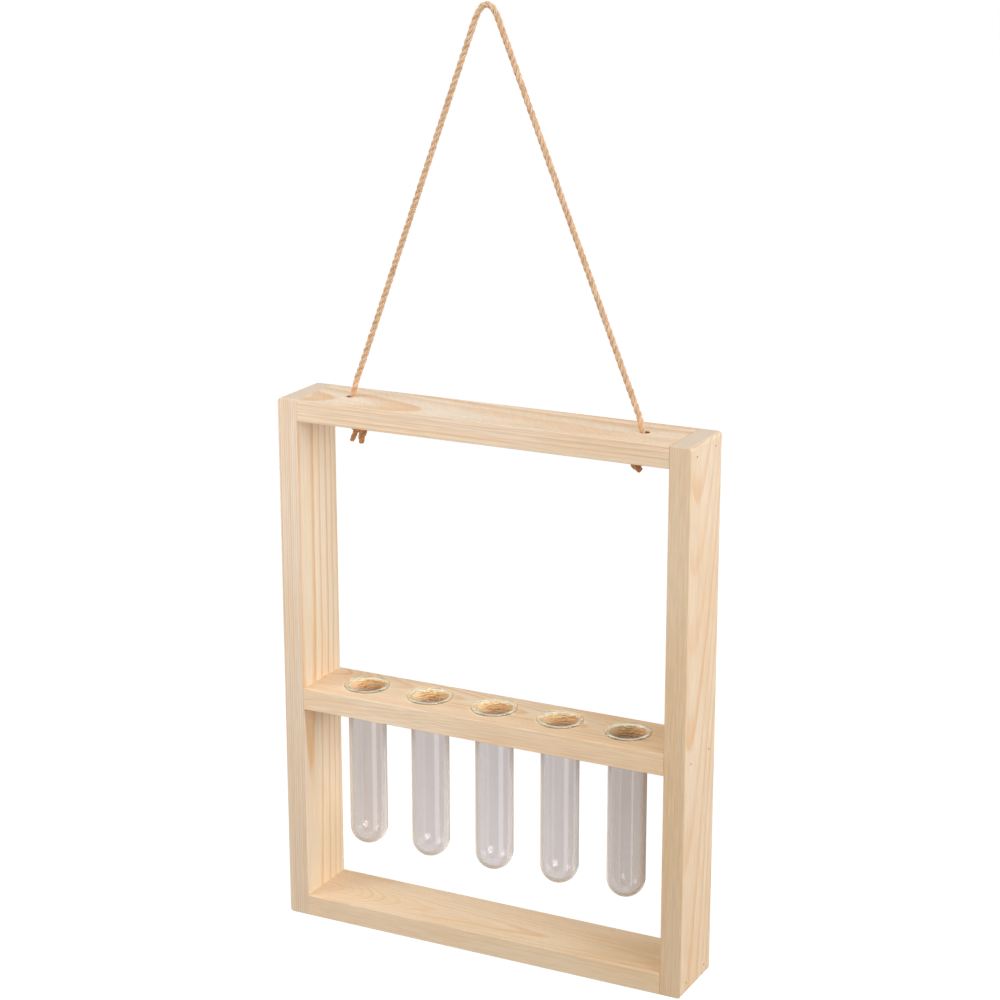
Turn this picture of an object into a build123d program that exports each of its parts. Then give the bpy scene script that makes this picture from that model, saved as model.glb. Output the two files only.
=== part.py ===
"""A hanging test tube vase: a pine frame that carries glass tubes and hangs on a knotted jute cord.

Millimetres. The origin is the hanging point, on the inside of the cord's loop, where a hook bears.
X runs across the frame, Y from its front to its back and Z up. The frame is centred on X and on Y.
"""

import math
import os

from build123d import *

# Pine frame
frame_width = 240.0
frame_height = 300.0
frame_depth = 40.0
stile_thickness = 12.0
rail_thickness = 12.0
shelf_thickness = 12.0
frame_corner_radius = 2.0  # the four outer corners, seen from the front
outer_edge_radius = 0.5  # sanded edges round the outside
inner_edge_radius = 0.4  # edges that face into the frame

# Brads, driven through the stiles into the rails' ends
brad_length = 25.0
brad_diameter = 1.0
brad_point_length = 2.0
brad_point_diameter = 0.3
brad_head_diameter = 1.4
brad_head_thickness = 0.6
brad_sink = 0.5  # depth of a head below the stile's outer face
brad_inset = 8.0  # from the frame's front and back faces
brad_clearance = 0.05

# Glass tubes
tube_count = 5
tube_diameter = 21.0
tube_wall = 1.0
tube_reach = 93.0  # from the shelf's top down to a tube's lowest point
tube_floor_gap = 31.0  # from a tube's lowest point down to the bottom rail
tube_end_margin = 29.0  # from a stile's inner face to the middle of the nearest tube
tube_clearance = 0.8  # all round a tube in its hole
lip_width = 2.5  # from the tube's outside to the lip's edge
lip_thickness = 1.4
lip_fillet = 0.6  # under the lip, where it runs into the tube
mouth_radius = 2.0  # the flare from the bore to the lip's top

# Jute cord
cord_diameter = 3.0
cord_hole_clearance = 1.0  # all round the cord in the middle of its hole
cord_hole_inset = 34.0  # from the frame's side to the middle of a cord hole
cord_hole_chamfer = 0.4
cord_side_gap = 0.2  # between the cord and the side of the hole that it leans on
cord_swing_clearance = 0.4  # under the cord when it is laid down on the top rail
cord_joint_gap = 0.3  # between the loop's round ends and the cord in the holes
hook_diameter = 8.0  # the hook that the loop goes round
hanging_drop = 208.5  # from the hanging point down to the frame's top

# Knots, as shares of the cord's diameter, across from the hole and down from the rail
knot_radius_share = 1.45
knot_seat_share = 1.1
knot_height_share = 2.2
knot_base_share = 0.7
knot_shift_share = 0.5  # towards the middle of the frame
slim_tail_share = 0.8  # of the cord's diameter
slim_tail_shares = ((0.7, -1.3), (0.65, -2.7), (0.0, -4.1))
full_tail_shares = ((0.9, -1.1), (2.0, -2.3), (1.95, -4.3))
short_tail_shares = ((1.2, -1.2), (1.5, -2.1), (0.85, -3.1))
tail_bend_share = 0.45  # of a tail's shorter run
end_round_share = 0.96  # of the cord's radius, at the loop's round ends

# Places worked out from the sizes above
frame_top = -hanging_drop
frame_bottom = frame_top - frame_height
frame_middle = (frame_top + frame_bottom) / 2
inner_half_width = frame_width / 2 - stile_thickness
stile_x = frame_width / 2 - stile_thickness / 2
shelf_top = frame_bottom + rail_thickness + tube_floor_gap + tube_reach
top_rail_z = frame_top - rail_thickness / 2
shelf_z = shelf_top - shelf_thickness / 2
bottom_rail_z = frame_bottom + rail_thickness / 2
rail_heights = (top_rail_z, shelf_z, bottom_rail_z)
brad_rows = (-frame_depth / 2 + brad_inset, frame_depth / 2 - brad_inset)
brad_bite = brad_length + brad_sink - stile_thickness
tube_radius = tube_diameter / 2
tube_bore_radius = tube_radius - tube_wall
tube_hole_radius = tube_radius + tube_clearance
tube_pitch = 2 * (inner_half_width - tube_end_margin) / (tube_count - 1)
lip_radius = tube_radius + lip_width
cord_radius = cord_diameter / 2
cord_hole_radius = cord_radius + cord_hole_clearance
cord_hole_x = frame_width / 2 - cord_hole_inset
cord_lean = cord_hole_clearance - cord_side_gap
cord_x = cord_hole_x - cord_lean
swing_z = frame_top + cord_radius + cord_swing_clearance
rail_underside = frame_top - rail_thickness
bend_radius = (hook_diameter + cord_diameter) / 2
bend_middle_z = -hook_diameter / 2

LEFT, RIGHT = -1, 1


def write(builder, name):
    """Label a finished piece and write it to its own file."""
    builder.part.label = name
    export_step(builder.part, f"parts/{name}.step")


def facing_out(side, x, y, z):
    """A plane on a side of the frame, whose normal points away from the frame's middle."""
    return Plane(origin=(side * x, y, z), x_dir=(0, 1, 0), z_dir=(side, 0, 0))


def make_stile(side):
    """An upright of the frame, rounded at its outer corners, with the brads' sunk holes."""
    outermost = -1 if side == RIGHT else 0
    innermost = 0 if side == RIGHT else -1
    with BuildPart() as stile:
        with BuildSketch(Plane.XZ) as outline:
            with Locations((side * stile_x, frame_middle)):
                Rectangle(stile_thickness, frame_height)
            fillet(outline.vertices().group_by(Axis.X)[outermost], frame_corner_radius)
        extrude(amount=frame_depth / 2, both=True)
        rims = stile.faces().filter_by(Axis.Y).edges()
        inner_edges = rims.filter_by(Axis.Z).group_by(Axis.X)[innermost]
        outer_edges = [edge for edge in rims if edge not in inner_edges]
        fillet(outer_edges, outer_edge_radius)
        rims = stile.faces().filter_by(Axis.Y).edges()
        fillet(rims.filter_by(Axis.Z).group_by(Axis.X)[innermost], inner_edge_radius)
        spots = [facing_out(side, frame_width / 2, y, z) for z in rail_heights for y in brad_rows]
        with Locations(*spots):
            CounterBoreHole(
                radius=brad_diameter / 2 + brad_clearance,
                counter_bore_radius=brad_head_diameter / 2 + brad_clearance,
                counter_bore_depth=brad_sink + brad_head_thickness + brad_clearance,
                depth=2 * stile_thickness,
            )
    return stile


def drill_ends(height):
    """Drill both ends of the rail being built for the brads that hold it."""
    spots = [facing_out(side, inner_half_width, y, height) for side in (LEFT, RIGHT) for y in brad_rows]
    with Locations(*spots):
        Hole(radius=brad_diameter / 2 + brad_clearance, depth=brad_bite + brad_clearance)


def lay_board(middle, thickness):
    """A board between the stiles, in the part being built."""
    with BuildSketch(Plane.XZ) as outline:
        with Locations((0, middle)):
            Rectangle(2 * inner_half_width, thickness)
    extrude(outline.sketch, amount=frame_depth / 2, both=True)


def make_top_rail():
    """The top rail, drilled for the cord, with its upper edges sanded round."""
    with BuildPart() as rail:
        lay_board(top_rail_z, rail_thickness)
        fillet(rail.edges().filter_by(Axis.X).group_by(Axis.Z)[-1], outer_edge_radius)
        fillet(rail.edges().filter_by(Axis.X).group_by(Axis.Z)[0], inner_edge_radius)
        with Locations((LEFT * cord_hole_x, 0, frame_top), (RIGHT * cord_hole_x, 0, frame_top)):
            Hole(radius=cord_hole_radius)
        mouths = rail.edges(Select.LAST).filter_by(GeomType.CIRCLE)
        chamfer(mouths, cord_hole_chamfer)
        drill_ends(top_rail_z)
    return rail


def make_bottom_rail():
    """The bottom rail, with its lower edges sanded round."""
    with BuildPart() as rail:
        lay_board(bottom_rail_z, rail_thickness)
        fillet(rail.edges().filter_by(Axis.X).group_by(Axis.Z)[0], outer_edge_radius)
        fillet(rail.edges().filter_by(Axis.X).group_by(Axis.Z)[-1], inner_edge_radius)
        drill_ends(bottom_rail_z)
    return rail


def make_shelf():
    """The shelf, with a row of holes that the tubes hang in."""
    with BuildPart() as shelf:
        lay_board(shelf_z, shelf_thickness)
        fillet(shelf.edges().filter_by(Axis.X), inner_edge_radius)
        with Locations((0, 0, shelf_top)):
            with GridLocations(tube_pitch, 0, tube_count, 1):
                Hole(radius=tube_hole_radius)
        drill_ends(shelf_z)
    return shelf


def make_brads():
    """All the brads: a head, a shank and a blunt point each, pointing into the frame."""
    seat = frame_width / 2 - brad_sink
    spots = [facing_out(side, seat, y, z) for side in (LEFT, RIGHT) for z in rail_heights for y in brad_rows]
    shank_length = brad_length - brad_point_length
    from_outside = (Align.CENTER, Align.CENTER, Align.MAX)
    with BuildPart() as brads:
        with Locations(*spots):
            Cylinder(brad_head_diameter / 2, brad_head_thickness, align=from_outside)
            Cylinder(brad_diameter / 2, shank_length, align=from_outside)
            with Locations((0, 0, -shank_length)):
                Cone(brad_point_diameter / 2, brad_diameter / 2, brad_point_length, align=from_outside)
    return brads


def make_tube(x):
    """A round-bottomed glass tube that hangs by its flared lip on the shelf's top."""
    lip_round = lip_thickness / 2
    bowl_z = tube_radius - tube_reach
    flare_z = lip_thickness - mouth_radius
    seat = Plane(origin=(x, 0, shelf_top), x_dir=(1, 0, 0), z_dir=(0, -1, 0))
    with BuildPart() as tube:
        with BuildSketch(seat):
            with BuildLine():
                CenterArc((0, bowl_z), tube_radius, -90, 90)
                Line((tube_radius, bowl_z), (tube_radius, -lip_fillet))
                CenterArc((tube_radius + lip_fillet, -lip_fillet), lip_fillet, 90, 90)
                Line((tube_radius + lip_fillet, 0), (lip_radius - lip_round, 0))
                CenterArc((lip_radius - lip_round, lip_round), lip_round, -90, 180)
                Line((lip_radius - lip_round, lip_thickness), (tube_bore_radius + mouth_radius, lip_thickness))
                CenterArc((tube_bore_radius + mouth_radius, flare_z), mouth_radius, 90, 90)
                Line((tube_bore_radius, flare_z), (tube_bore_radius, bowl_z))
                CenterArc((0, bowl_z), tube_bore_radius, -90, 90)
                Line((0, bowl_z - tube_bore_radius), (0, bowl_z - tube_radius))
            make_face()
        revolve(axis=Axis((x, 0, shelf_top), (0, 0, 1)))
    return tube


def make_cord_loop():
    """The free cord: taut from each hole to the hook, round at its lower ends, where it swings."""
    reach = math.hypot(cord_x, swing_z - bend_middle_z)
    lean = math.atan2(cord_x, bend_middle_z - swing_z) - math.asin(bend_radius / reach)
    touch_x = bend_radius * math.cos(lean)
    touch_z = bend_middle_z + bend_radius * math.sin(lean)
    end_x = cord_x + cord_radius * math.sin(lean)
    end_z = swing_z - cord_radius * math.cos(lean)
    with BuildPart() as loop:
        with BuildLine(Plane.XZ) as path:
            Line((LEFT * end_x, end_z), (LEFT * touch_x, touch_z))
            ThreePointArc((LEFT * touch_x, touch_z), (0, cord_radius), (RIGHT * touch_x, touch_z))
            Line((RIGHT * touch_x, touch_z), (RIGHT * end_x, end_z))
        line = path.wire()
        with BuildSketch(Plane(origin=line @ 0, z_dir=line % 0)):
            Circle(cord_radius)
        sweep(path=line)
        plain_volume = math.pi * cord_radius**2 * line.length
        print(f"cord loop: length {line.length:.1f}, bend radius {bend_radius:.2f}, lean {math.degrees(lean):.1f} deg")
        print(f"cord loop: volume {loop.part.volume:.1f}, section times length {plain_volume:.1f}")
        ends = loop.faces().sort_by(Axis.Z)[0:2]
        fillet(ends.edges(), cord_radius * end_round_share)
    return loop


def make_cord_end(side):
    """The cord inside its hole, from the knot up to the loop's round end."""
    top = swing_z - cord_radius - cord_joint_gap
    with BuildPart() as stub:
        with BuildSketch(Plane.XY.offset(rail_underside)):
            with Locations((side * cord_x, 0)):
                Circle(cord_radius)
        extrude(amount=top - rail_underside)
    return stub


def add_tail(side, shares, diameter):
    """A hanging tail of the knot being built, along a route given as shares of the cord's diameter."""
    points = [
        (side * (cord_hole_x - across * cord_diameter), rail_underside + down * cord_diameter)
        for across, down in shares
    ]
    first, middle, last = (Vector(*point) for point in points)
    turn = (middle - first).get_angle(last - middle)
    shorter = min((middle - first).length, (last - middle).length)
    bend = tail_bend_share * shorter / math.tan(math.radians(turn / 2))
    print(f"tail: turn {turn:.0f} deg, bend radius {bend:.1f}")
    with BuildLine(Plane.XZ) as route:
        FilletPolyline(*points, radius=bend)
    line = route.wire()
    with BuildSketch(Plane(origin=line @ 0, z_dir=line % 0)) as section:
        Circle(diameter / 2)
    sweep(section.sketch, path=line)


def make_knot(side, tails):
    """A knot drawn up against the rail's underside, with the tails that hang out of it."""
    middle = side * (cord_hole_x - knot_shift_share * cord_diameter)
    seat = Plane(origin=(middle, 0, rail_underside), x_dir=(1, 0, 0), z_dir=(0, -1, 0))
    seat_radius = knot_seat_share * cord_diameter
    widest = knot_radius_share * cord_diameter
    height = knot_height_share * cord_diameter
    base = knot_base_share * cord_diameter
    with BuildPart() as knot:
        with BuildSketch(seat):
            with BuildLine():
                Line((0, 0), (seat_radius, 0))
                ThreePointArc((seat_radius, 0), (widest, -height / 2), (base, -height))
                Line((base, -height), (0, -height))
                Line((0, -height), (0, 0))
            make_face()
        revolve(axis=Axis((middle, 0, rail_underside), (0, 0, 1)))
        for shares, diameter in tails:
            add_tail(side, shares, diameter)
    return knot


os.makedirs("parts", exist_ok=True)

write(make_stile(LEFT), "left_stile")
write(make_stile(RIGHT), "right_stile")
write(make_top_rail(), "top_rail")
write(make_shelf(), "tube_shelf")
write(make_bottom_rail(), "bottom_rail")
write(make_brads(), "brads")
for number in range(tube_count):
    write(make_tube(tube_pitch * (number - (tube_count - 1) / 2)), f"tube_{number + 1}")
write(make_cord_loop(), "cord_loop")
write(make_cord_end(LEFT), "left_cord_end")
write(make_cord_end(RIGHT), "right_cord_end")
slim_tail = (slim_tail_shares, slim_tail_share * cord_diameter)
full_tail = (full_tail_shares, cord_diameter)
short_tail = (short_tail_shares, cord_diameter)
write(make_knot(LEFT, (slim_tail, full_tail)), "left_knot")
write(make_knot(RIGHT, (short_tail,)), "right_knot")
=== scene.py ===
"""Looks of the hanging test tube vase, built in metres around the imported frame.

Pine boards with year rings, lathe-turned glass tubes, and a three-strand jute cord with a knot at each end.
"""

import math
import random

import bpy
import numpy as np
from mathutils import Euler, Matrix, Vector


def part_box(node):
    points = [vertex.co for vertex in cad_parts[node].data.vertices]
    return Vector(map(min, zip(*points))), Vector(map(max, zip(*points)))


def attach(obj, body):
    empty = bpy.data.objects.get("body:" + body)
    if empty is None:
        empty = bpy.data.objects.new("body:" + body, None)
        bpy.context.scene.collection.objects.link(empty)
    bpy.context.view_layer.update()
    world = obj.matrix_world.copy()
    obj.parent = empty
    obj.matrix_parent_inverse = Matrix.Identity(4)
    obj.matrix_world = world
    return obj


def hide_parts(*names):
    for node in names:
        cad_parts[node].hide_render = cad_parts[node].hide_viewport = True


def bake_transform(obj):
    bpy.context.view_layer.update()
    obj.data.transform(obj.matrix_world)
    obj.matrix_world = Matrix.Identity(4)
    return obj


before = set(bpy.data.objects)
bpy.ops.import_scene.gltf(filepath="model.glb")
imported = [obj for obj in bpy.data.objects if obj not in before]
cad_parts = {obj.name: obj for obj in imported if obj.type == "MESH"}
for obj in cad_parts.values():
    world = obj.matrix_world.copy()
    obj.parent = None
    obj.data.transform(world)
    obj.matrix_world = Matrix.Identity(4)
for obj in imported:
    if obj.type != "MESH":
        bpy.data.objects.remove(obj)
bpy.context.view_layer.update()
random.seed(7)

MM = 0.001

# Camera, fitted to the frame's corners in the photograph
CAMERA_AT = (0.57648, -1.12481, 0.10578)
CAMERA_AZIMUTH = 26.989
CAMERA_ELEVATION = 15.945
CAMERA_ROLL = -0.061
CAMERA_LENS = 89.83  # millimetres, on a sensor 36 mm wide
CAMERA_SENSOR = 36.0
CAMERA_CLIP_END = 60.0

WHITE = (1.0, 1.0, 1.0, 1.0)
BLACK = (0.0, 0.0, 0.0, 1.0)

# Stage, in metres from the hook
WORLD_LIGHT = 0.36  # how strongly the white backdrop lights the object
FLOOR_Z = -1.45
FLOOR_RADIUS = 14.0
FLOOR_SIDES = 96
FLOOR_LIT = (0.8, 0.78, 0.75, 1.0)  # the floor's colour for the light that it sends to the object
FLOOR_SEEN = (0.3, 0.3, 0.3, 1.0)  # and where it is looked at, under its glow
FLOOR_GLOW = 0.92
WINDOW_AZIMUTH = math.radians(60)  # from the front towards the right
WINDOW_DISTANCE = 2.4
WINDOW_Z = 0.45
WINDOW_WIDTH = 2.0
WINDOW_HEIGHT = 2.0
WINDOW_STRENGTH = 8.5

# Each lamp's place, the point that it shines at, its size and its power
LAMPS = {
    "top": ((0.1, -0.45, 1.25), (0.0, 0.0, -0.3), 1.2, 7.4),
    "right": ((1.75, -0.66, 0.2), (0.0, 0.0, -0.35), 1.0, 15.2),
    "back": ((1.7, 0.8, 0.28), (0.0, 0.0, -0.35), 1.0, 8.5),
    "left": ((-0.75, -0.65, 0.1), (0.0, 0.0, -0.3), 0.6, 5.0),
}

# Radius and height of the lower cards' two edges and of the upper cards' two edges
CARD_EDGES = ((1.9, FLOOR_Z), (2.4, -0.75), (2.65, -0.55), (2.65, 2.4))
UPPER_CARD = (0.5, 0.48, 0.45)
CARD_STEP = 4  # degrees round the vase from one card to the next

# Shades of the lower cards round the vase, by the angle from its front towards its right
LOWER_CARDS = (
    (-180, (0.2, 0.2, 0.2)),
    (-164, (0.2, 0.2, 0.2)),
    (-148, (1.0, 0.9, 0.75)),
    (-84, (1.4, 1.3, 1.15)),
    (-72, (0.6, 0.6, 0.6)),
    (-20, (0.9, 0.9, 0.9)),
    (-12, (1.8, 1.8, 1.8)),
    (-4, (0.05, 0.05, 0.05)),
    (48, (0.05, 0.05, 0.05)),
    (56, (3.0, 3.0, 3.0)),
    (100, (2.9, 2.9, 2.9)),
    (120, (1.6, 1.6, 1.6)),
    (140, (0.3, 0.3, 0.3)),
    (180, (0.2, 0.2, 0.2)),
)

# Jute cord, in millimetres
CORD = 3.0
LAY = 12.0  # length of one turn of the strands
HOLE_BOTTOM_Z = -220.5
HOLE_X = 86.0
CORD_HOLE_RADIUS = 2.5
CORD_STEP = 0.45  # between the points that the cord's strands follow
KNOT_STEP = 0.35
CORD_HAIRS = 420
KNOT_HAIRS = 30

# Strands of a cord, with lengths as shares of its diameter
STRANDS = 3
STRAND_SIDES = 12
STRAND_RADIUS = 0.295
STRAND_ORBIT = 0.262  # from the cord's middle to a strand's middle
FRAY_LENGTH = 1.2  # of the stretch in which the strands part or close up at an end
FRAY_THINNING = 0.25
LUMPS = (0.93, 1.07)  # a strand's thinnest and thickest places
LUMP_STEP = 6  # points from one lump to the next
YARNS = 5  # ridges round a strand
YARN_LAY = 0.6  # length of one turn of the yarns, as a share of the strands' turn
YARN_SWELL = 0.07

# Stray fibres, in millimetres
HAIR_LENGTH = (1.5, 4.0)
HAIR_RISE = (0.3, 1.4)
HAIR_RADIUS = 0.045
HAIR_TAPER = 0.6
HAIR_BEND = 0.6
HAIR_ROOT = 0.42  # from the cord's middle, as a share of its diameter
HAIR_POINTS = 7
HAIR_SIDES = (0.0, 2.1, 4.2)  # angles of a fibre's three edges

# The cord's route in the XZ plane: up through the left hole, round the hook, down through the right hole
ROUTE = (
    (-85.4, -220.5),
    (-85.4, -206.6),
    (-78.6, -189.9),
    (-13.6, -15.3),
    (-7.2, 1.5),
    (0.3, 1.5),
    (6.9, -15.3),
    (78.4, -189.9),
    (85.4, -206.6),
    (85.4, -220.5),
)

# Glass tubes, in millimetres
TUBE_RADIUS = 10.5
TUBE_WALL = 1.0
TUBE_REACH = 93.0  # from the shelf's top to the lowest point
LIP_RADIUS = 13.0
LIP_THICKNESS = 1.4
LIP_FILLET = 0.6
LIP_SEAT = 0.03  # a hair's breadth between the lip and the shelf
MOUTH_RADIUS = 2.0
TUBE_SIDES = 128
TUBE_HOLE_RADIUS = 11.3  # in the shelf
LIP_WAVER = 0.004  # how far a lip falls short of round, as a share of its radius
LIP_WAVES = 3
LIP_TURN = 1.7  # angle by which the wavering differs from tube to tube


class Graph:
    """A new material with short ways to add nodes. An input takes a value or another node's socket."""

    def __init__(self, name):
        self.material = bpy.data.materials.new(name)
        self.material.use_nodes = True
        self.tree = self.material.node_tree
        self.tree.nodes.clear()

    def node(self, kind, inputs, **settings):
        """A node with its settings made and its inputs set or linked."""
        made = self.tree.nodes.new("ShaderNode" + kind)
        for name, value in settings.items():
            setattr(made, name, value)
        for name, value in inputs.items():
            if isinstance(value, bpy.types.NodeSocket):
                self.tree.links.new(value, made.inputs[name])
            else:
                made.inputs[name].default_value = value
        return made

    def math(self, operation, *values):
        return self.node("Math", dict(enumerate(values)), operation=operation).outputs[0]

    def vector(self, operation, *values):
        return self.node("VectorMath", dict(enumerate(values)), operation=operation).outputs[0]

    def scale(self, vector, factor):
        return self.node("VectorMath", {0: vector, "Scale": factor}, operation="SCALE").outputs[0]

    def length(self, vector):
        return self.node("VectorMath", {0: vector}, operation="LENGTH").outputs["Value"]

    def split(self, vector):
        return self.node("SeparateXYZ", {0: vector}).outputs

    def join(self, *values):
        return self.node("CombineXYZ", dict(enumerate(values))).outputs[0]

    def noise(self, at, stretch, seed, detail=2.0, output="Fac"):
        """Noise about 0.5, in space stretched by a factor for each axis."""
        inputs = {"Vector": self.vector("MULTIPLY", at, stretch), "W": seed, "Scale": 1.0, "Detail": detail}
        return self.node("TexNoise", inputs, noise_dimensions="4D").outputs[output]

    def mix(self, factor, first, second, blend="MIX"):
        inputs = {0: factor, 6: first, 7: second}
        return self.node("Mix", inputs, data_type="RGBA", blend_type=blend).outputs[2]

    def between(self, value, low, high, to_low=0.0, to_high=1.0):
        """A value's smooth passage from one level to another."""
        inputs = {0: value, 1: low, 2: high, 3: to_low, 4: to_high}
        return self.node("MapRange", inputs, interpolation_type="SMOOTHSTEP").outputs[0]

    def ramp(self, value, stops):
        """A level for each value, through (value, level) stops."""
        made = self.node("ValToRGB", {0: value})
        elements = made.color_ramp.elements
        for place, level in stops[1:-1]:
            elements.new(place)
        for element, (place, level) in zip(elements, stops):
            element.position = place
            element.color = (level, level, level, 1.0)
        return made.outputs[0]

    def finish(self, inputs):
        """Ends the material in one Principled shader."""
        shader = self.node("BsdfPrincipled", inputs)
        self.node("OutputMaterial", {"Surface": shader.outputs[0]})
        return self.material


def colour(red, green, blue):
    """A colour given in display values from 0 to 255, as the shaders' linear one."""
    levels = [value / 255 for value in (red, green, blue)]
    return tuple(((v + 0.055) / 1.055) ** 2.4 if v > 0.04045 else v / 12.92 for v in levels) + (1.0,)


def link(name, data):
    """A new object in the scene."""
    made = bpy.data.objects.new(name, data)
    bpy.context.scene.collection.objects.link(made)
    return made


def mark_points(mesh, name, values):
    """Gives each of a mesh's points a value, which the material reads by its name."""
    mesh.attributes.new(name, "FLOAT", "POINT").data.foreach_set("value", values)


# Materials


# Each board's year rings, in millimetres from the board's middle. A place is given across the board's
# thickness, through its depth and along its length.
# pith: the rings' axis across and through; lean and bend: how the axis drifts along the board
# rings: ring width near the pith, the radius where it changes, and the width outside that
# shift: how far through a ring the wood begins at the pith; wander: how far rings stray across and through
# swirl: a place along the board near which the axis comes closer, the swirl's reach and its depth
# early: how much of a ring stays pale; contrast: how strongly its late wood shows, front: and at the front
# lines: how strongly thin straight lines show on the front face
# figure: how much the fibres shimmer across the board; streaks: how strongly they show along it
# skin: a cast multiplied into the front face alone; last, the wood's cast at its low or left end and at its
# other end, which carries painted shade: the boards darken towards the bottom and the right
BOARDS = {
    "left_stile": dict(
        grain="Z", pith=(-46.0, -12.7), lean=(0.008, 0.0), bend=0.0, rings=(1.35, 53.8, 2.3), shift=0.08,
        wander=(0.4, 4.0), swirl=(150.0, 90.0, -1.0), early=0.66, contrast=0.75, front=1.0, figure=0.0,
        lines=0.25, streaks=0.9, skin=(1.015, 1.02, 1.075),
        tones_and_falloff_shade=((0.935, 0.945, 0.95), (1.03, 1.05, 1.09)), seed=3.1,
    ),
    "right_stile": dict(
        grain="Z", pith=(-74.0, -14.0), lean=(0.0366, 0.033), bend=8.5e-5, rings=(2.0, 100.0, 2.0),
        shift=0.79, wander=(0.5, 3.0), swirl=(0.0, 50.0, 0.0), early=0.6, contrast=0.55, front=0.2,
        figure=0.0, lines=0.0, streaks=1.5, skin=(0.975, 0.93, 0.85),
        tones_and_falloff_shade=((0.9, 0.85, 0.81), (0.985, 0.955, 0.95)), seed=8.9,
    ),
    "top_rail": dict(
        grain="X", pith=(-54.0, -9.5), lean=(-0.0333, 0.0), bend=1.87e-4, rings=(1.1, 54.5, 3.1),
        shift=0.15, wander=(0.5, 4.0), swirl=(0.0, 50.0, 0.0), early=0.4, contrast=0.7, front=0.25,
        figure=0.03, lines=0.5, streaks=1.2, skin=(0.975, 0.955, 0.94),
        tones_and_falloff_shade=((1.085, 1.11, 1.18), (1.07, 1.07, 1.11)), seed=5.7,
    ),
    "tube_shelf": dict(
        grain="X", pith=(-22.0, 4.0), lean=(-0.035, -0.1), bend=0.0, rings=(1.1, 24.0, 1.3), shift=0.56,
        wander=(0.5, 4.0), swirl=(-108.0, 26.0, 4.0), early=0.45, contrast=0.75, front=0.55, figure=0.01,
        lines=0.3, streaks=1.3, skin=(1.03, 1.03, 1.04),
        tones_and_falloff_shade=((1.05, 1.04, 1.045), (0.98, 0.935, 0.88)), seed=2.2,
    ),
    "bottom_rail": dict(
        grain="X", pith=(-20.0, -6.0), lean=(-0.016, -0.02), bend=0.0, rings=(1.0, 16.0, 1.3), shift=0.85,
        wander=(0.5, 4.0), swirl=(-108.0, 36.0, 8.0), early=0.7, contrast=0.5, front=0.5, figure=0.01,
        lines=0.1, streaks=1.2, skin=(1.015, 1.015, 1.03),
        tones_and_falloff_shade=((0.99, 0.955, 0.915), (0.93, 0.875, 0.785)), seed=9.9,
    ),
}

# How often each of the wood's noises changes in a millimetre across, through and along a board
WAVES = (0.03, 0.03, 0.01)
RIPPLES = (0.12, 0.12, 0.03)
BROAD = (0.06, 0.06, 0.012)
FIBRES = (1.5, 1.5, 0.06)
FINE = (6.0, 6.0, 0.12)
BANDS = (0.9, 0.9, 0.006)
LINES = (1.7, 1.7, 0.006)
SHIMMER = (0.3, 0.1, 0.7)
MARKS = (0.4, 0.4, 0.4)
NOISE_MIDDLE = (0.5, 0.5, 0.5)

RIPPLE_REACH = (0.3, 1.2, 0.0)  # how far small ripples push the rings
SHIMMER_LEAN = math.radians(35)
FRONT_SKIN = 3.0  # depth in which the rings come up to their full strength behind the front face
PALE = colour(244, 224, 197)
WARM = colour(241, 216, 183)
LATE = colour(232, 178, 116)
END_GRAIN = colour(234, 217, 200)
TUBE_HOLE_SHADES = (colour(226, 154, 102), colour(249, 232, 204))
# the cord holes' walls: the drilled wood's warm colour, darkened with painted shade inside the narrow holes
CORD_HOLE_PAINTED_SHADE = (colour(150, 98, 58), colour(176, 124, 80))
MARK_SPACING = 1.5  # between the drill's marks, up a hole's wall
MARK_WAVER = 20.0  # how far the marks stray from level, as an angle of their wave
BRAD_SHADES = (colour(156, 124, 92), colour(204, 170, 130))
BRAD_SCRATCHES = (900, 2500, 2500)

# Glass, with its cast in the middle tube and in the first and last ones; the outer tubes' warmer, darker
# casts are painted reflection of the stiles beside them and painted shade, darkest in the last tube
GLASS_MIDDLE = (0.56, 0.507, 0.502, 1.0)
GLASS_LEFT = (0.545, 0.475, 0.437, 1.0)
GLASS_RIGHT = (0.457, 0.4, 0.366, 1.0)
GLASS_INNER_X = 20.0  # where the middle cast begins to change, from the middle of the frame
GLASS_OUTER_X = 80.0
# painted shade: the tubes are darker just under the shelf and paler further down
GLASS_SHADE_FALLOFF = (20.0, 85.0)  # stretch below the shelf's top in which the cast gets paler
GLASS_HAZE = (0.8, 0.74, 0.69, 1.0)
GLASS_IOR = 1.47
GLASS_CLOUDS = (120, 120, 18)
LIP_FADE = 10.0  # stretch below the shelf's top in which the lip's glass gives way to the body's
LIP_GLASS = (0.77, 0.74, 0.61, 1.0)
# the lip's specular tint: a painted warm reflection of warm surroundings
LIP_PAINTED_REFLECTION = (0.8, 0.66, 0.48, 1.0)

# Jute, with the tones of the cord and of the knots; the knots' darker, warmer tone is painted shade, as
# they sit in the shadow under the rail
JUTE_FIBRES = (colour(194, 150, 106), colour(245, 217, 181))
JUTE_PATCHES = colour(226, 190, 147)
# painted shade in the hollows between the strands
JUTE_HOLLOW_SHADE = colour(150, 106, 66)
JUTE_STREAKS = (9.0, 0.25, 1.0)
JUTE_BLOTCHES = (110, 110, 110)
CORD_TONE = (1.03, 0.985, 1.0, 1.0)
# painted shade: the knots sit in the shadow under the rail
KNOT_SHADE_TONE = (0.88, 0.64, 0.42, 1.0)


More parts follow.
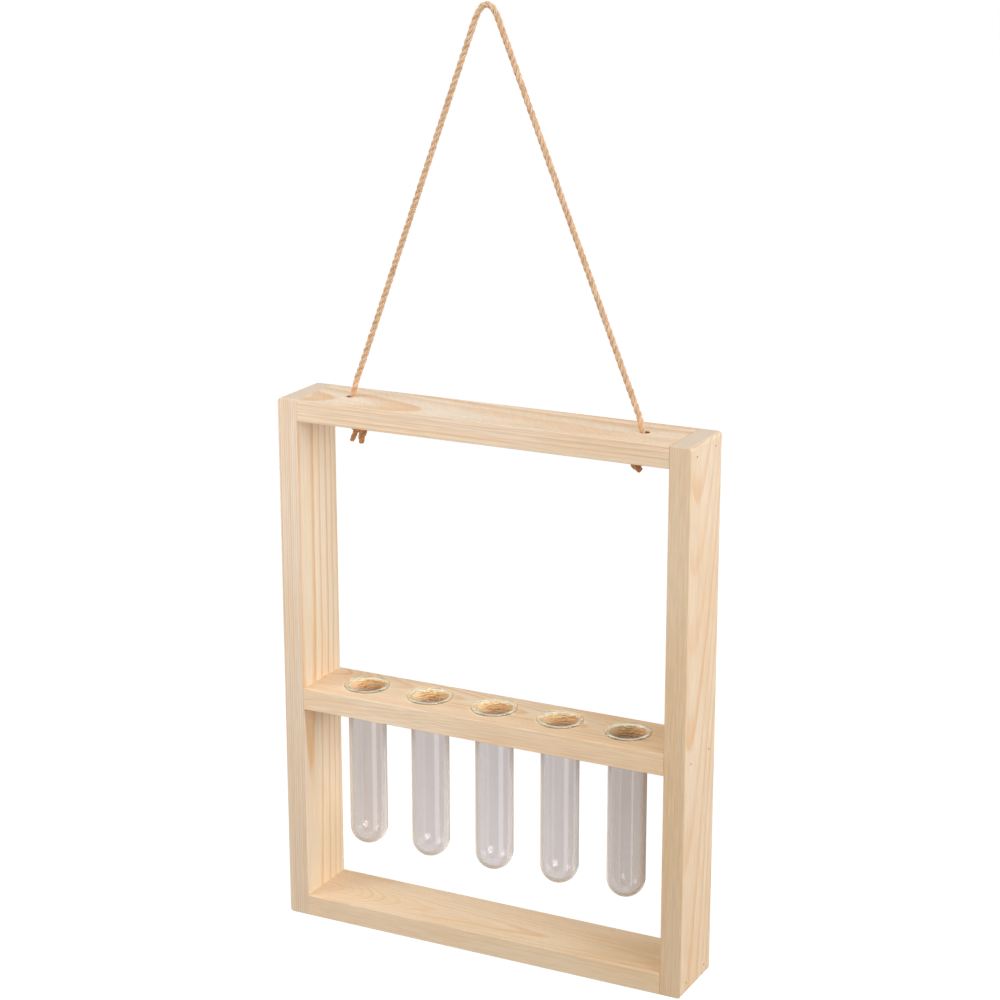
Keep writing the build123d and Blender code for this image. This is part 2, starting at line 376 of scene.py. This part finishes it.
def make_rings(graph, board, pith, lean, bend, rings, shift, wander, swirl, seed):
    """How far through its year ring each place is, from 0 to 1, and the ring's number."""
    along = graph.split(board)[2]
    waves = graph.noise(board, WAVES, seed, output="Color")
    waves = graph.vector("MULTIPLY", graph.vector("SUBTRACT", waves, NOISE_MIDDLE), (*wander, 0.0))
    ripple = graph.noise(board, RIPPLES, seed + 10, output="Color")
    ripple = graph.vector("MULTIPLY", graph.vector("SUBTRACT", ripple, NOISE_MIDDLE), RIPPLE_REACH)
    drift = graph.scale((*lean, 0), along)
    curve = graph.join(graph.math("MULTIPLY", graph.math("MULTIPLY", along, along), bend), 0.0, 0.0)
    middle, reach, depth = swirl
    away = graph.math("DIVIDE", graph.math("SUBTRACT", along, middle), reach)
    bump = graph.math("EXPONENT", graph.math("MULTIPLY", graph.math("MULTIPLY", away, away), -1.0))
    lift = graph.join(graph.math("MULTIPLY", bump, depth), 0.0, 0.0)
    axis = graph.vector("ADD", (*pith, 0), drift)
    axis = graph.vector("ADD", axis, curve)
    axis = graph.vector("ADD", axis, lift)
    place = graph.vector("ADD", graph.vector("ADD", board, waves), ripple)
    spoke = graph.vector("MULTIPLY", graph.vector("SUBTRACT", place, axis), (1.0, 1.0, 0.0))
    radius = graph.length(spoke)
    inner, change, outer = rings
    near = graph.math("DIVIDE", graph.math("MINIMUM", radius, change), inner)
    far = graph.math("DIVIDE", graph.math("MAXIMUM", graph.math("SUBTRACT", radius, change), 0.0), outer)
    phase = graph.math("ADD", graph.math("ADD", near, far), shift)
    return graph.math("FRACT", phase), graph.math("FLOOR", phase)


def make_pine(node, grain, early, contrast, front, figure, lines, streaks, skin, tones_and_falloff_shade, seed, **growth):
    """Flat-sawn pine: year rings round a pith axis beside the board, with fibres along its length."""
    low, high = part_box(node)
    graph = Graph("pine_" + node)
    coordinates = graph.node("TexCoord", {})
    from_middle = graph.vector("SUBTRACT", coordinates.outputs["Object"], (low + high) / 2)
    x, y, z = graph.split(graph.scale(from_middle, 1 / MM))
    across, along = (x, z) if grain == "Z" else (z, x)
    board = graph.join(across, y, along)

    # Each ring darkens to its late wood and ends sharply, and some rings are stronger than others
    passage, number = make_rings(graph, board, seed=seed, **growth)
    stops = (
        (0.0, 0.3), (0.05, 0.0), (early, 0.06), ((early + 0.8) / 2, 0.5),
        (0.9, 1.0), (0.97, 0.9), (1.0, 0.3),
    )
    late = graph.ramp(passage, stops)
    luck = graph.node("TexWhiteNoise", {"W": graph.math("ADD", number, seed)}, noise_dimensions="1D")
    late = graph.math("MULTIPLY", late, graph.between(luck.outputs["Value"], 0.05, 0.95, 0.5, 1.0))
    half_depth = (high - low).y / 2 / MM
    inward = graph.between(y, -half_depth, FRONT_SKIN - half_depth)
    shown = graph.between(inward, 0.0, 1.0, front * contrast, contrast)
    late = graph.math("MULTIPLY", late, shown)
    thin = graph.between(graph.noise(board, LINES, seed + 75, detail=0.0), 0.5, 0.64)
    thin = graph.math("MULTIPLY", thin, graph.between(inward, 0.0, 1.0, lines, 0.0))
    late = graph.math("MAXIMUM", late, thin)
    broad = graph.noise(board, BROAD, seed + 40)
    wood = graph.mix(graph.between(broad, 0.35, 0.65), PALE, WARM)
    wood = graph.mix(late, wood, LATE)

    # Fibres streak the wood along the board, and shimmer across it behind the front face
    fibre = graph.noise(board, FIBRES, seed + 60, detail=3.0)
    fine = graph.noise(board, FINE, seed + 80, detail=1.0)
    band = graph.noise(board, BANDS, seed + 70, detail=1.0)
    turned = graph.node("VectorRotate", {"Vector": board, "Angle": SHIMMER_LEAN}, rotation_type="X_AXIS")
    shimmer = graph.noise(turned.outputs[0], SHIMMER, seed + 90, detail=1.0)
    shimmer = graph.math("MULTIPLY", graph.between(shimmer, 0.3, 0.7, -figure, figure), inward)
    streak = graph.between(fibre, 0.3, 0.7, 0.945, 1.03)
    streak = graph.math("ADD", streak, graph.between(fine, 0.3, 0.7, -0.022, 0.022))
    streak = graph.math("MULTIPLY_ADD", graph.math("SUBTRACT", streak, 1.0), streaks, 1.0)
    streak = graph.math("ADD", streak, graph.between(band, 0.35, 0.65, 0.015, -0.02))
    streak = graph.math("ADD", streak, shimmer)

    half_length = max(high - low) / 2 / MM
    # The cast along the board holds painted shade, darker towards the bottom and the right; the front
    # face's cast is multiplied in on top
    tone_and_shade = graph.mix(graph.between(along, -half_length, half_length), (*tones_and_falloff_shade[0], 1.0), (*tones_and_falloff_shade[1], 1.0))
    tone_and_shade = graph.mix(1.0, tone_and_shade, graph.mix(inward, (*skin, 1.0), WHITE), blend="MULTIPLY")
    wood = graph.mix(1.0, wood, graph.scale(tone_and_shade, streak), blend="MULTIPLY")
    if node == "tube_shelf":
        pitch = (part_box("tube_2")[0].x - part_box("tube_1")[0].x) / MM
        from_axis = graph.math("WRAP", along, pitch / 2, -pitch / 2)
        wood = add_bores(graph, wood, board, from_axis, TUBE_HOLE_RADIUS, TUBE_HOLE_SHADES, seed)
    if node == "top_rail":
        from_axis = graph.math("SUBTRACT", graph.math("ABSOLUTE", along), HOLE_X)
        # The cord holes' walls take painted shade
        wood = add_bores(graph, wood, board, from_axis, CORD_HOLE_RADIUS, CORD_HOLE_PAINTED_SHADE, seed)

    # End grain is greyer
    facing = graph.split(coordinates.outputs["Normal"])["Z" if grain == "Z" else "X"]
    end = graph.between(graph.math("ABSOLUTE", facing), 0.75, 0.95, 0.0, 0.6)
    wood = graph.mix(end, wood, END_GRAIN)

    height = graph.math("ADD", graph.math("MULTIPLY", late, 0.4), graph.math("MULTIPLY", fibre, 0.6))
    relief = graph.node("Bump", {"Height": height, "Strength": 0.2, "Distance": 0.00012})
    return graph.finish({
        "Base Color": wood,
        "Roughness": graph.between(late, 0.0, 1.0, 0.62, 0.5),
        "Specular IOR Level": 0.3,
        "Normal": relief.outputs[0],
    })


def add_bores(graph, wood, board, from_axis, radius, shades, seed):
    """Gives the walls of a board's holes the given shades, with the marks that a drill has left."""
    across, depth, _ = graph.split(board)
    away = graph.length(graph.join(from_axis, depth, 0.0))
    wall = graph.between(away, radius + 0.05, radius + 0.4, 1.0, 0.0)
    waver = graph.math("MULTIPLY", graph.noise(board, MARKS, seed + 5), MARK_WAVER)
    marks = graph.math("SINE", graph.math("MULTIPLY_ADD", across, 2 * math.pi / MARK_SPACING, waver))
    rough = graph.mix(graph.between(marks, -0.8, 0.8), *shades)
    return graph.mix(wall, wood, rough)


def make_steel():
    """Wire heads, sunk and stained by the wood round them."""
    graph = Graph("steel")
    place = graph.node("TexCoord", {}).outputs["Object"]
    scratches = graph.noise(place, BRAD_SCRATCHES, 1.5, detail=3.0)
    shade = graph.mix(graph.between(scratches, 0.3, 0.7), *BRAD_SHADES)
    bump = graph.node("Bump", {"Height": scratches, "Strength": 0.2, "Distance": 0.0001})
    return graph.finish({
        "Base Color": shade,
        "Metallic": 0.6,
        "Roughness": graph.between(scratches, 0.2, 0.8, 0.4, 0.6),
        "Normal": bump.outputs[0],
    })


def make_glass(shelf_top):
    """Clear, greyish glass, hazy at its edges, with painted reflection and shade making the outer tubes
    warmer and darker, painted shade under the shelf, and a painted warm reflection on the lip.
    """
    graph = Graph("glass")
    place = graph.node("TexCoord", {}).outputs["Object"]
    outside = graph.node("Attribute", {}, attribute_name="outside").outputs["Fac"]
    bead = graph.node("Attribute", {}, attribute_name="bead").outputs["Fac"]
    x, _, z = graph.split(place)
    lip = graph.between(z, shelf_top - LIP_FADE * MM, shelf_top)
    cast = graph.noise(place, GLASS_CLOUDS, 4.0)
    inner, outer = GLASS_INNER_X * MM, GLASS_OUTER_X * MM
    # Painted reflection and shade: the outer tubes take warmer, darker casts from the stiles beside them
    body = graph.mix(graph.between(x, -inner, -outer), GLASS_MIDDLE, GLASS_LEFT)
    body = graph.mix(graph.between(x, inner, outer), body, GLASS_RIGHT)
    # Painted shade: darker just under the shelf, paler further down
    falloff_top, falloff_bottom = (shelf_top - down * MM for down in GLASS_SHADE_FALLOFF)
    shade_falloff = graph.between(z, falloff_top, falloff_bottom, 0.97, 1.08)
    body = graph.scale(body, graph.math("ADD", shade_falloff, graph.between(cast, 0.3, 0.7, -0.03, 0.03)))
    share = graph.between(outside, 0.0, 1.0, 0.3, 0.7)  # of the cast, on the inside and on the outside
    body = graph.node("Gamma", {"Color": body, "Gamma": share}).outputs[0]
    facing = graph.node("LayerWeight", {"Blend": 0.5}).outputs["Facing"]
    haze = graph.math("MULTIPLY", graph.between(facing, 0.25, 0.6), outside)
    haze = graph.math("MULTIPLY", haze, graph.between(lip, 0.0, 1.0, 1.0, 0.4))
    body = graph.mix(haze, body, GLASS_HAZE)
    clear = graph.between(bead, 0.0, 1.0, 1.0, 0.88)
    clear = graph.math("MULTIPLY", clear, graph.between(haze, 0.0, 1.0, 1.0, 0.1))
    return graph.finish({
        "Base Color": graph.mix(lip, body, LIP_GLASS),
        "Roughness": graph.between(cast, 0.3, 0.7, 0.015, 0.04),
        "IOR": GLASS_IOR,
        "Transmission Weight": clear,
        # painted warm reflection on the lip
        "Specular Tint": graph.mix(lip, WHITE, LIP_PAINTED_REFLECTION),
    })


def make_jute(name, tone_and_shade):
    """Natural jute: pale fibres, with painted shade in the hollows between the strands."""
    graph = Graph(name)
    place = graph.node("TexCoord", {}).outputs["Object"]
    turns = graph.node("UVMap", {}).outputs[0]
    outside = graph.node("Attribute", {}, attribute_name="outside").outputs["Fac"]
    streak = graph.noise(turns, JUTE_STREAKS, 2.0, detail=3.0)
    patch = graph.noise(place, JUTE_BLOTCHES, 5.0)
    fibre = graph.mix(graph.between(streak, 0.3, 0.7), *JUTE_FIBRES)
    fibre = graph.mix(graph.between(patch, 0.3, 0.7, 0.0, 0.45), fibre, JUTE_PATCHES)
    # Painted shade: darker where a point lies deep between the strands
    shade = graph.mix(graph.between(outside, 0.56, 0.88), JUTE_HOLLOW_SHADE, fibre)
    # The tone multiplies in; for the knots it is painted shade
    shade = graph.mix(1.0, shade, tone_and_shade, blend="MULTIPLY")
    bump = graph.node("Bump", {"Height": streak, "Strength": 0.6, "Distance": 0.0001})
    return graph.finish({
        "Base Color": shade,
        "Roughness": 0.8,
        "Specular IOR Level": 0.25,
        "Sheen Weight": 0.15,
        "Normal": bump.outputs[0],
    })


# Cord


def smooth_line(points, spacing):
    """Evenly spaced points on the smooth curve that a route's points control."""
    curve = bpy.data.curves.new("route", "CURVE")
    curve.dimensions = "3D"
    curve.resolution_u = 64
    spline = curve.splines.new("NURBS")
    spline.points.add(len(points) - 1)
    for control, place in zip(spline.points, points):
        control.co = (*place, 1.0)
    spline.order_u = 3
    spline.use_endpoint_u = True
    holder = bpy.data.objects.new("route", curve)
    mesh = bpy.data.meshes.new_from_object(holder)
    line = np.array([vertex.co for vertex in mesh.vertices])
    bpy.data.objects.remove(holder)
    bpy.data.curves.remove(curve)
    bpy.data.meshes.remove(mesh)
    reach = np.concatenate([[0.0], np.cumsum(np.linalg.norm(np.diff(line, axis=0), axis=1))])
    wanted = np.linspace(0.0, reach[-1], round(reach[-1] / spacing) + 1)
    return np.stack([np.interp(wanted, reach, line[:, k]) for k in range(3)], axis=1)


def unit(vectors):
    """The vectors' directions, with a length of 1."""
    return vectors / np.linalg.norm(vectors, axis=-1, keepdims=True)


def across_line(line):
    """Two directions across a line at each point, which turn as little as they can along it."""
    ahead = unit(np.gradient(line, axis=0))
    start = np.array((0.0, 1.0, 0.0)) if abs(ahead[0, 1]) < 0.9 else np.array((1.0, 0.0, 0.0))
    sides = []
    for direction in ahead:
        start = unit(start - direction * (start @ direction))
        sides.append(start)
    sides = np.array(sides)
    return sides, np.cross(ahead, sides)


class Tubes:
    """Round tubes gathered into one mesh, with a UV map and how far out each point lies in its cord."""

    def __init__(self):
        self.points = []
        self.faces = []
        self.uvs = []
        self.outside = []

    def add(self, rings, outside, turn_length):
        """A tube through rings of points, closed at both ends."""
        count, sides = rings.shape[:2]
        base = len(self.points)
        self.points.extend(map(tuple, rings.reshape(-1, 3)))
        self.outside.extend(outside.reshape(-1))
        for i in range(count - 1):
            for j in range(sides):
                ahead = (j + 1) % sides
                low, high = base + i * sides, base + (i + 1) * sides
                self.faces.append((low + j, low + ahead, high + ahead, high + j))
                v, w = i * turn_length, (i + 1) * turn_length
                u, t = j / sides, (j + 1) / sides
                self.uvs.extend(((u, v), (t, v), (t, w), (u, w)))
        last = base + (count - 1) * sides
        self.faces.append(tuple(range(base + sides - 1, base - 1, -1)))
        self.faces.append(tuple(range(last, last + sides)))
        self.uvs.extend([(0.5, 0.0)] * (2 * sides))

    def make(self, name, material):
        """An object of all the tubes."""
        mesh = bpy.data.meshes.new(name)
        mesh.from_pydata(self.points, [], self.faces)
        mesh.uv_layers.new(name="UVMap").data.foreach_set("uv", np.array(self.uvs).reshape(-1))
        mark_points(mesh, "outside", self.outside)
        mesh.shade_smooth()
        mesh.materials.append(material)
        return link(name, mesh)


def add_rope(tubes, line, diameter, fray=0.0):
    """Twisted strands along a line in metres. At its far end they part or, with fray below 0, close up."""
    step = np.linalg.norm(line[1] - line[0])
    places = np.arange(len(line)) * step
    first, second = across_line(line)
    to_end = np.clip(1 - (places[-1] - places) / (FRAY_LENGTH * diameter), 0, 1)
    orbit = STRAND_ORBIT * diameter * (1 + fray * to_end**2)
    around = np.linspace(0, 2 * math.pi, STRAND_SIDES, endpoint=False)
    for k in range(STRANDS):
        turn = 2 * math.pi * (places / (LAY * MM) + k / STRANDS)
        outward = np.cos(turn)[:, None] * first + np.sin(turn)[:, None] * second
        middle = line + orbit[:, None] * outward
        side, up = across_line(middle)
        lumpy = places[::LUMP_STEP]
        lumps = np.interp(places, lumpy, [random.uniform(*LUMPS) for _ in lumpy])
        thick = STRAND_RADIUS * diameter * lumps * (1 - FRAY_THINNING * fray * to_end)
        yarn = YARNS * (around[None, :] + 2 * math.pi * places[:, None] / (YARN_LAY * LAY * MM))
        swell = thick[:, None] * (1 + YARN_SWELL * np.cos(yarn))
        beside = np.cos(around)[None, :, None] * side[:, None, :]
        above = np.sin(around)[None, :, None] * up[:, None, :]
        rings = middle[:, None, :] + swell[:, :, None] * (beside + above)
        out = np.linalg.norm(rings - line[:, None, :], axis=2) / (0.5 * diameter)
        tubes.add(rings, out, step / (0.5 * diameter))


def add_hairs(tubes, line, diameter, count):
    """Stray fibres that stand off a cord's surface."""
    first, second = across_line(line)
    for _ in range(count):
        i = random.randrange(4, len(line) - 12)
        angle = random.uniform(0, 2 * math.pi)
        outward = math.cos(angle) * first[i] + math.sin(angle) * second[i]
        ahead = unit(line[i + 1] - line[i]) * random.choice((-1, 1))
        around = np.cross(ahead, outward) * random.uniform(-1, 1)
        length = random.uniform(*HAIR_LENGTH) * MM
        rise = random.uniform(*HAIR_RISE) * MM
        root = line[i] + outward * HAIR_ROOT * diameter
        places = np.linspace(0, 1, HAIR_POINTS)
        bends = [(ahead + HAIR_BEND * around * t) * length * t for t in places]
        path = np.array([root + bend + outward * rise * t**1.5 for bend, t in zip(bends, places)])
        side, up = across_line(path)
        thick = HAIR_RADIUS * MM * (1 - HAIR_TAPER * places)
        edges = [path + thick[:, None] * (math.cos(a) * side + math.sin(a) * up) for a in HAIR_SIDES]
        rings = np.stack(edges, axis=1)
        tubes.add(rings, np.ones(rings.shape[:2]), 0.4)


def make_cord(material):
    """The whole cord from knot to knot, bending where it comes out of the top rail."""
    points = [(x * MM, 0.0, z * MM) for x, z in ROUTE]
    line = smooth_line(points, CORD_STEP * MM)
    tubes = Tubes()
    add_rope(tubes, line, CORD * MM)
    add_hairs(tubes, line, CORD * MM, CORD_HAIRS)
    cord = tubes.make("jute_cord", material)
    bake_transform(cord)
    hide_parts("cord_loop", "left_cord_end", "right_cord_end")
    return cord, line


def make_knot(name, side, routes, material):
    """A knot under the rail, of cords on routes given from the hole inwards, to the back and down."""
    tubes = Tubes()
    for points, diameter, fray in routes:
        places = [
            (side * (HOLE_X - inwards) * MM, y * MM, (HOLE_BOTTOM_Z - down) * MM)
            for inwards, y, down in points
        ]
        line = smooth_line(places, KNOT_STEP * MM)
        add_rope(tubes, line, diameter * MM, fray)
        add_hairs(tubes, line, diameter * MM, KNOT_HAIRS)
    knot = tubes.make(name + "_rope", material)
    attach(knot, "frame")
    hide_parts(name)
    return knot


def wrap(middle, radius, top, bottom, turns, start):
    """Points of a coil round the cord, from its top turn to its bottom turn."""
    count = round(12 * turns) + 1
    points = []
    for i in range(count):
        angle = math.radians(start) + 2 * math.pi * turns * i / (count - 1)
        down = top + (bottom - top) * i / (count - 1)
        points.append((middle + radius * math.cos(angle), radius * math.sin(angle), down))
    return points


# Glass


def arc(middle, radius, start, end, count):
    """Points on an arc in a profile, from one angle in degrees to another."""
    angles = np.radians(np.linspace(start, end, count))
    return [(middle[0] + radius * math.cos(a), middle[1] + radius * math.sin(a)) for a in angles]


def tube_profile():
    """A tube's outline from the lowest point outside, over the lip, to the lowest point inside."""
    bowl = TUBE_RADIUS - TUBE_REACH
    bore = TUBE_RADIUS - TUBE_WALL
    lip_round = LIP_THICKNESS / 2
    flare = LIP_THICKNESS - MOUTH_RADIUS
    outline = arc((0, bowl), TUBE_RADIUS, -90, 0, 20)
    outline += [(TUBE_RADIUS, bowl + (-LIP_FILLET - bowl) * i / 6) for i in range(1, 6)]
    outline += arc((TUBE_RADIUS + LIP_FILLET, -LIP_FILLET), LIP_FILLET, 180, 90, 6)
    outline += arc((LIP_RADIUS - lip_round, lip_round), lip_round, -90, 90, 12)
    outline += arc((bore + MOUTH_RADIUS, flare), MOUTH_RADIUS, 90, 180, 10)
    outline += [(bore, flare + (bowl - flare) * i / 6) for i in range(1, 6)]
    outline += arc((0, bowl), bore, 0, -90, 20)
    return outline


def make_tube(number, material):
    """One glass tube, turned round its axis, with a lip that is not quite even."""
    name = f"tube_{number}"
    low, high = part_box(name)
    middle = (low + high) / 2
    top = high.z - (LIP_THICKNESS - LIP_SEAT) * MM
    profile = tube_profile()
    rows = profile[1:-1]
    points = [(middle.x, middle.y, top + profile[0][1] * MM)]
    phase = number * LIP_TURN
    for radius, height in rows:
        for j in range(TUBE_SIDES):
            angle = 2 * math.pi * j / TUBE_SIDES
            swell = 1.0
            if height > -LIP_FILLET:
                swell -= LIP_WAVER * (1 + math.sin(LIP_WAVES * angle + phase))
            points.append((
                middle.x + swell * radius * MM * math.cos(angle),
                middle.y + swell * radius * MM * math.sin(angle),
                top + height * MM,
            ))
    points.append((middle.x, middle.y, top + profile[-1][1] * MM))
    last = len(points) - 1
    faces = []
    for j in range(TUBE_SIDES):
        ahead = (j + 1) % TUBE_SIDES
        faces.append((0, 1 + ahead, 1 + j))
        for i in range(len(rows) - 1):
            below, above = 1 + i * TUBE_SIDES, 1 + (i + 1) * TUBE_SIDES
            faces.append((below + j, below + ahead, above + ahead, above + j))
        ring = 1 + (len(rows) - 1) * TUBE_SIDES
        faces.append((ring + j, ring + ahead, last))
    mesh = bpy.data.meshes.new(name + "_glass")
    mesh.from_pydata(points, [], faces)
    heights = [height for radius, height in rows]
    outer_rows = heights.index(max(heights))
    mark_points(mesh, "outside", [float(i <= outer_rows * TUBE_SIDES) for i in range(len(points))])
    on_bead = [float(radius > LIP_RADIUS - LIP_THICKNESS) for radius, height in rows]
    mark_points(mesh, "bead", [0.0, *np.repeat(on_bead, TUBE_SIDES), 0.0])
    mesh.shade_smooth()
    mesh.materials.append(material)
    tube = link(name + "_glass", mesh)
    tube.visible_shadow = False  # clear glass lets the lamps through
    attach(tube, name)
    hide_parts(name)


# Stage


def make_camera():
    """The photograph's camera."""
    camera = link("camera", bpy.data.cameras.new("camera"))
    camera.data.sensor_width = CAMERA_SENSOR
    camera.data.lens = CAMERA_LENS
    camera.data.clip_end = CAMERA_CLIP_END
    turn = Euler((math.radians(90 - CAMERA_ELEVATION), 0, math.radians(CAMERA_AZIMUTH))).to_matrix()
    turn = turn @ Matrix.Rotation(math.radians(CAMERA_ROLL), 3, "Z")
    camera.matrix_world = Matrix.Translation(CAMERA_AT) @ turn.to_4x4()
    bpy.context.scene.camera = camera


def make_lamp(name, at, target, size, power):
    """A square white lamp that shines at a point."""
    lamp = link(name, bpy.data.lights.new(name, "AREA"))
    lamp.data.size = size
    lamp.data.energy = power
    lamp.location = at
    lamp.rotation_euler = (Vector(target) - Vector(at)).to_track_quat("-Z", "Y").to_euler()


def seen_or_lit(tree, seen, lit):
    """A strength that is one level where a ray looks at the surface and another where it gathers light."""
    path = tree.nodes.new("ShaderNodeLightPath")
    total = path.outputs["Is Camera Ray"]
    for name in ("Is Glossy Ray", "Is Transmission Ray"):
        either = tree.nodes.new("ShaderNodeMath")
        either.operation = "MAXIMUM"
        tree.links.new(total, either.inputs[0])
        tree.links.new(path.outputs[name], either.inputs[1])
        total = either.outputs[0]
    strength = tree.nodes.new("ShaderNodeMapRange")
    tree.links.new(total, strength.inputs[0])
    strength.inputs[3].default_value = lit
    strength.inputs[4].default_value = seen
    return strength.outputs[0]


def make_world():
    """A white backdrop that gives the object only soft light."""
    world = bpy.data.worlds.new("studio")
    bpy.context.scene.world = world
    world.use_nodes = True
    tree = world.node_tree
    background = tree.nodes["Background"]
    background.inputs[0].default_value = WHITE
    tree.links.new(seen_or_lit(tree, 1.0, WORLD_LIGHT), background.inputs[1])


def make_floor():
    """A pale floor far under the vase, which keeps its shadow."""
    mesh = bpy.data.meshes.new("floor")
    rim = [2 * math.pi * i / FLOOR_SIDES for i in range(FLOOR_SIDES)]
    points = [(FLOOR_RADIUS * math.cos(a), FLOOR_RADIUS * math.sin(a), FLOOR_Z) for a in rim]
    mesh.from_pydata(points, [], [tuple(range(FLOOR_SIDES))])
    graph = Graph("floor")
    graph.finish({
        "Base Color": graph.mix(seen_or_lit(graph.tree, 1.0, 0.0), FLOOR_LIT, FLOOR_SEEN),
        "Roughness": 0.9,
        "Specular IOR Level": 0.0,
        "Emission Color": WHITE,
        "Emission Strength": seen_or_lit(graph.tree, FLOOR_GLOW, 0.0),
    })
    mesh.materials.append(graph.material)
    link("floor", mesh)


def make_cards():
    """A ring of cards round the vase, pale and dark by turns, which shows only as reflections in glass."""
    azimuths = np.arange(-180, 180 + CARD_STEP, CARD_STEP)
    places = [place for place, shade in LOWER_CARDS]
    shades = np.array([shade for place, shade in LOWER_CARDS])
    points = []
    colours = []
    for azimuth in azimuths:
        x = math.sin(math.radians(azimuth))
        y = -math.cos(math.radians(azimuth))
        lower = [np.interp(azimuth, places, shades[:, k]) for k in range(3)]
        points += [(radius * x, radius * y, z) for radius, z in CARD_EDGES]
        colours += [(*shade, 1.0) for shade in (lower, lower, UPPER_CARD, UPPER_CARD)]
    rows = len(CARD_EDGES)
    corners = [rows * i + j for i in range(len(azimuths) - 1) for j in range(rows - 1)]
    mesh = bpy.data.meshes.new("cards")
    mesh.from_pydata(points, [], [(i, i + rows, i + rows + 1, i + 1) for i in corners])
    shade = mesh.attributes.new("shade", "FLOAT_COLOR", "POINT")
    shade.data.foreach_set("color", np.array(colours).reshape(-1))
    graph = Graph("cards")
    glow(graph, graph.node("Attribute", {}, attribute_name="shade").outputs["Color"], 1.0)
    mesh.materials.append(graph.material)
    show_in_gloss(link("cards", mesh))


def make_window():
    """A bright pane up to the right, which shows only as a highlight in glass."""
    out = Vector((math.sin(WINDOW_AZIMUTH), -math.cos(WINDOW_AZIMUTH), 0.0))
    side = Vector((-out.y, out.x, 0.0)) * WINDOW_WIDTH / 2
    up = Vector((0.0, 0.0, WINDOW_HEIGHT / 2))
    middle = out * WINDOW_DISTANCE + Vector((0.0, 0.0, WINDOW_Z))
    mesh = bpy.data.meshes.new("window")
    corners = [middle + i * side + j * up for i, j in ((-1, -1), (1, -1), (1, 1), (-1, 1))]
    mesh.from_pydata(corners, [], [range(4)])
    graph = Graph("window")
    glow(graph, WHITE, WINDOW_STRENGTH)
    mesh.materials.append(graph.material)
    window = link("window", mesh)
    show_in_gloss(window)
    window.visible_transmission = True  # a tube's inside is seen through its wall


def glow(graph, shade, strength):
    """Ends a stage material that gives light and takes none."""
    graph.finish({
        "Base Color": BLACK,
        "Specular IOR Level": 0.0,
        "Emission Color": shade,
        "Emission Strength": strength,
    })


def show_in_gloss(card):
    """Leaves a stage card to be seen in reflections alone."""
    for way in ("camera", "diffuse", "transmission", "shadow", "volume_scatter"):
        setattr(card, "visible_" + way, False)


def dress(node, material):
    """Gives one of the frame's own solids its material."""
    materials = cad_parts[node].data.materials
    materials.clear()
    materials.append(material)


# Build

make_camera()
make_world()
make_cards()
make_window()
make_floor()
for name, lamp in LAMPS.items():
    make_lamp(name, *lamp)

# Each knot's cords: a route from the hole inwards, to the back and down, a diameter, and how its end frays
LEFT_TAIL = [
    (0.6, 0, 0.0), (1.4, 0, 2.6), (5.0, -1.0, 3.6), (6.8, -0.8, 6.4), (6.4, -0.4, 9.6), (6.0, 0, 12.8),
]
LEFT_COIL = wrap(3.0, 2.0, 1.6, 5.2, 1.6, 150) + [(2.5, -0.6, 6.9), (1.7, -0.2, 9.7), (0.0, 0.0, 12.2)]
LEFT_BIGHT = [(3.4, 1.6, 3.0), (6.6, 1.4, 4.6), (8.5, 0.4, 6.6), (8.2, -0.8, 8.4), (6.9, -1.4, 8.9)]
RIGHT_TAIL = [(0.6, 0, 0.0), (2.6, -0.2, 2.2), (6.2, -0.6, 3.0), (5.0, -0.9, 5.8), (1.8, -0.6, 8.2)]
RIGHT_COIL = wrap(3.2, 2.2, 1.6, 5.2, 2.0, 150)
TIGHT = -0.7
LEFT_ROUTES = ((LEFT_TAIL, 3.3, TIGHT), (LEFT_COIL, 2.6, TIGHT), (LEFT_BIGHT, 2.0, 0.0))
RIGHT_ROUTES = ((RIGHT_TAIL, 3.7, TIGHT), (RIGHT_COIL, 2.7, TIGHT))

cord, cord_line = make_cord(make_jute("jute", CORD_TONE))
# The knots' jute is darkened with painted shade, for the shadow under the rail
shaded_knot_jute = make_jute("knot_shade_jute", KNOT_SHADE_TONE)
left_knot = make_knot("left_knot", -1, LEFT_ROUTES, shaded_knot_jute)
right_knot = make_knot("right_knot", 1, RIGHT_ROUTES, shaded_knot_jute)

for node, board in BOARDS.items():
    dress(node, make_pine(node, **board))
dress("brads", make_steel())

shelf_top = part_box("tube_shelf")[1].z
glass = make_glass(shelf_top)
for number in range(1, 6):
    make_tube(number, glass)

bpy.context.scene.view_settings.view_transform = "Standard"
